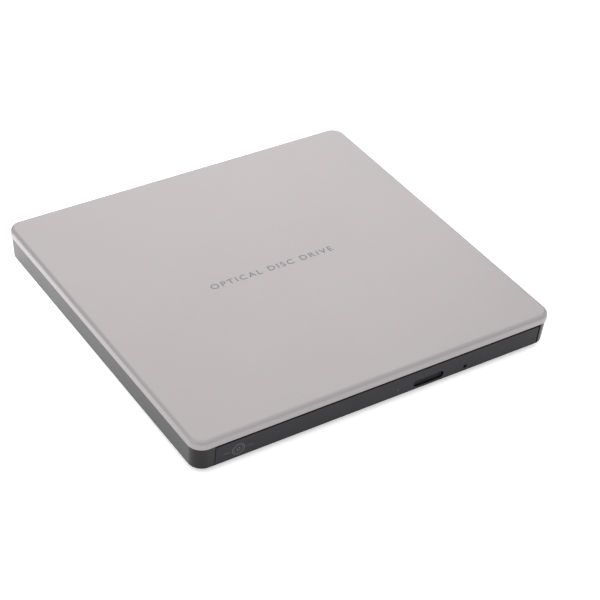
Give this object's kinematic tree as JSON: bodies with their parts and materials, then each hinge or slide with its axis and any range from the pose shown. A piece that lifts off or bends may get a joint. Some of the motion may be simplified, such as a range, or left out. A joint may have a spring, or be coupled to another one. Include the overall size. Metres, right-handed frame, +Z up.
{
  "type": "external optical drive",
  "caption": "Slim square portable disc drive with a silver lid, black base, front tray on telescopic rails, eject button, spindle and laser pickup",
  "frame": {"origin": "centre of the footprint, on the plane the feet stand on", "axes": "+X to the right seen from the front, across the width; +Y to the rear, towards the data socket; +Z up. The tray opens along -Y"},
  "size_m": [0.144, 0.1376, 0.014],
  "materials": {
    "silver_paint": "fine metallic silver paint, satin",
    "gloss_black": "moulded glossy black",
    "satin_black": "fine-grained satin black",
    "foot_rubber": "moulded black rubber",
    "zinc_screw": "bright zinc-plated steel",
    "label_film": "silver-grey printed film",
    "sheet_steel": "galvanised sheet",
    "acetal": "natural white acetal",
    "black_nylon": "glass-filled black nylon",
    "ground_steel": "ground steel",
    "spring_steel": "spring wire",
    "circuit_board": "green solder mask",
    "chip_epoxy": "black epoxy",
    "crystal_can": "nickel-plated can",
    "nickel_shell": "nickel-plated steel",
    "gold_contact": "gold flash",
    "ribbon_film": "polyester ribbon with flat conductors",
    "tray_plastic": "moulded dark grey",
    "clear_pipe": "clear acrylic",
    "led_body": "clear epoxy",
    "magnet": "nickel-plated magnet",
    "coil_body": "enamelled copper winding",
    "die_cast": "as-cast zinc alloy",
    "cover_steel": "black-coated sheet",
    "motor_steel": "plated motor steel",
    "hub_plastic": "smooth black acetal"
  },
  "bodies": {
    "housing": {"base_shell": "gloss_black", "board_chips": "chip_epoxy", "board_screws": "zinc_screw", "case_screws": "zinc_screw", "chassis_lid": "sheet_steel", "chassis_pan": "sheet_steel", "chassis_screws": "zinc_screw", "flex_connector": "black_nylon", "left_rail_guide": "acetal", "lock_pin": "ground_steel", "main_board": "circuit_board", "quartz_crystal": "crystal_can", "right_rail_guide": "acetal", "rubber_feet": "foot_rubber", "top_cover": "silver_paint", "tray_flex_cable": "ribbon_film", "underside_label": "label_film", "usb_contacts": "gold_contact", "usb_socket": "nickel_shell", "usb_tongue": "black_nylon"},
    "tray": {"disc_tray": "tray_plastic", "tray_surround": "tray_plastic", "tray_bezel": "satin_black", "light_pipe": "clear_pipe", "status_led": "led_body", "eject_switch": "chip_epoxy", "front_board": "circuit_board", "tray_under_cover": "tray_plastic", "tray_connector": "black_nylon", "ejector_spring": "spring_steel", "lever_pivot": "ground_steel", "lock_spring": "spring_steel", "solenoid": "coil_body", "traverse_frame": "die_cast", "traverse_dampers": "foot_rubber", "traverse_screws": "zinc_screw", "traverse_cover": "cover_steel", "guide_shafts": "ground_steel", "spindle_base": "motor_steel", "sled_motor": "motor_steel"},
    "left_rail": {"left_slide_rail": "sheet_steel"},
    "right_rail": {"right_slide_rail": "sheet_steel"},
    "spindle": {"spindle_rotor": "motor_steel", "turntable_ring": "foot_rubber", "disc_hub": "hub_plastic", "clamp_jaws": "black_nylon"},
    "pickup": {"pickup_carriage": "die_cast", "pickup_cover": "cover_steel", "actuator_magnets": "magnet", "laser_diode": "crystal_can", "feed_nut": "black_nylon"},
    "lens": {"lens_holder": "acetal", "objective_lens": "clear_pipe", "focus_coils": "coil_body"},
    "screw": {"lead_screw": "ground_steel"},
    "button": {"eject_button": "satin_black"},
    "lever": {"lock_lever": "black_nylon"},
    "plunger": {"solenoid_plunger": "magnet"},
    "slider": {"emergency_slider": "acetal"},
    "ejector": {"ejector_pusher": "black_nylon"}
  },
  "joints": [
    {"name": "tray_slide", "type": "slide", "parent": "housing", "child": "tray", "axis": [0, -1, 0], "range_m": [0, 0.128], "deforming": ["tray_flex_cable", "ejector_spring"]},
    {"name": "left_rail_slide", "type": "slide", "parent": "housing", "child": "left_rail", "axis": [0, -1, 0], "range_m": [0, 0.0645]},
    {"name": "right_rail_slide", "type": "slide", "parent": "housing", "child": "right_rail", "axis": [0, -1, 0], "range_m": [0, 0.0645]},
    {"name": "spindle_spin", "type": "hinge", "parent": "tray", "child": "spindle", "pos_m": [0, -0.0035, 0.0065], "axis": [0, 0, 1], "continuous": true},
    {"name": "pickup_slide", "type": "slide", "parent": "tray", "child": "pickup", "axis": [-0.7071, -0.7071, 0], "range_m": [0, 0.0341]},
    {"name": "lead_screw_spin", "type": "hinge", "parent": "tray", "child": "screw", "pos_m": [-0.02008, -0.00237, 0.00535], "axis": [-0.7071, -0.7071, 0], "range_deg": [0, 4080]},
    {"name": "lens_focus", "type": "slide", "parent": "pickup", "child": "lens", "axis": [0, 0, 1], "range_m": [-0.0006, 0.0006], "stiffness_N_per_m": 30},
    {"name": "button_press", "type": "slide", "parent": "tray", "child": "button", "axis": [0, 1, 0], "range_m": [0, 0.0005], "stiffness_N_per_m": 1000},
    {"name": "lock_turn", "type": "hinge", "parent": "tray", "child": "lever", "pos_m": [0.05, -0.038, 0.00435], "axis": [0, 0, 1], "range_deg": [0, 13], "stiffness_Nm_per_rad": 0.004},
    {"name": "plunger_slide", "type": "slide", "parent": "tray", "child": "plunger", "axis": [1, 0, 0], "range_m": [0, 0.0014]},
    {"name": "slider_slide", "type": "slide", "parent": "tray", "child": "slider", "axis": [0, -1, 0], "range_m": [0, 0.0035]},
    {"name": "ejector_slide", "type": "slide", "parent": "tray", "child": "ejector", "axis": [0, 1, 0], "range_m": [0, 0.0101]}
  ],
  "couplings": [
    {"joint": "left_rail_slide", "follows": "tray_slide", "ratio": 0.5},
    {"joint": "right_rail_slide", "follows": "tray_slide", "ratio": 0.5},
    {"joint": "ejector_slide", "follows": "tray_slide", "ratio": 0.078125},
    {"joint": "pickup_slide", "follows": "lead_screw_spin", "m_per_rad": 0.00047746},
    {"joint": "plunger_slide", "follows": "lock_turn", "m_per_rad": 0.0059},
    {"joint": "slider_slide", "follows": "lock_turn", "m_per_rad": 0.0148}
  ]
}
